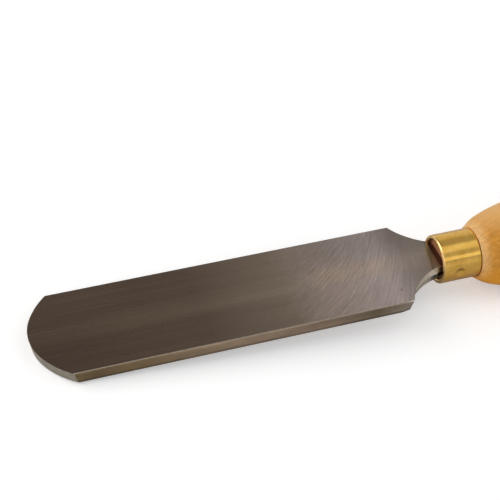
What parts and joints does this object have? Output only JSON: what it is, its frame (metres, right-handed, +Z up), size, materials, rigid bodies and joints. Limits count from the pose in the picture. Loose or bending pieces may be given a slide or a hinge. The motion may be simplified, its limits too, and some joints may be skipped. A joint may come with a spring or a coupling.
{
  "type": "round-nose woodturning scraper",
  "caption": "Wide round-nose scraper for woodturning: flat steel blade with a domed edge, brass ferrule and turned wooden handle.",
  "frame": {"origin": "middle of the blade's flat underside, on the blade's centre line, 75 mm in front of the ferrule", "axes": "+X along the tool from the cutting nose towards the butt of the handle, +Y across the blade, +Z up, square to the blade and out of its top face"},
  "size_m": [0.4077, 0.0382, 0.0332],
  "materials": {
    "blade_steel": "ground, with long lengthwise lines at the nose and curved wheel scratches towards the shoulders",
    "ferrule_brass": "polished tube with a rolled front lip",
    "handle_wood": "clear lacquer over pale straight-grained hardwood"
  },
  "bodies": {
    "root": {"blade": "blade_steel", "ferrule": "ferrule_brass", "handle": "handle_wood"}
  },
  "joints": []
}
